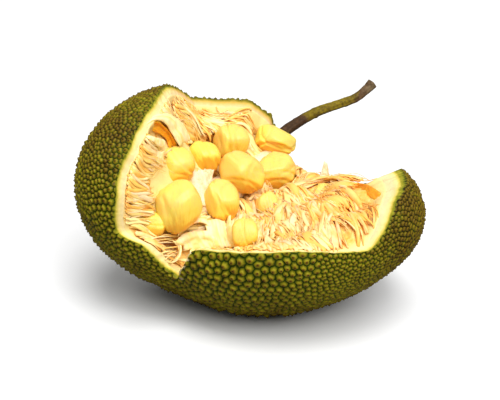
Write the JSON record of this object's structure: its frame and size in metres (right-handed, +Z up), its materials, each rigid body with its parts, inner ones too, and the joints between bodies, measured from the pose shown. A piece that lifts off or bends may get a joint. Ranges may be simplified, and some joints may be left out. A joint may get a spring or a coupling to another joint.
{
  "type": "jackfruit",
  "caption": "Spiny green jackfruit cut lengthwise and opened, showing pale rind flesh, a fibre bed, a pith core and golden bulbs, with its curved stem.",
  "frame": {"origin": "middle of the whole object's footprint, on the surface that the fruit rests on", "axes": "+Z up, +X to the right and +Y away from someone who looks into the opening; the stem leaves towards +X and +Y"},
  "size_m": [0.3168, 0.3273, 0.205],
  "materials": {
    "rind": "spiny olive-green skin with brown tips over pale cut flesh, dull",
    "fibre": "moist cream-yellow strands and flesh, satin",
    "pith": "spongy white-pink pith, matte",
    "bulb": "waxy golden-yellow fruit flesh, satin",
    "stem": "brown-green bark with a pale cut end, matte"
  },
  "bodies": {
    "root": {"rind": "rind", "fibre_bed": "fibre", "core": "pith", "stem": "stem", "bulb_01": "bulb", "bulb_02": "bulb", "bulb_03": "bulb", "bulb_04": "bulb", "bulb_05": "bulb", "bulb_06": "bulb", "bulb_07": "bulb", "bulb_08": "bulb", "bulb_09": "bulb", "bulb_10": "bulb", "bulb_11": "bulb", "bulb_12": "bulb", "bulb_13": "bulb", "bulb_14": "bulb"}
  },
  "joints": []
}
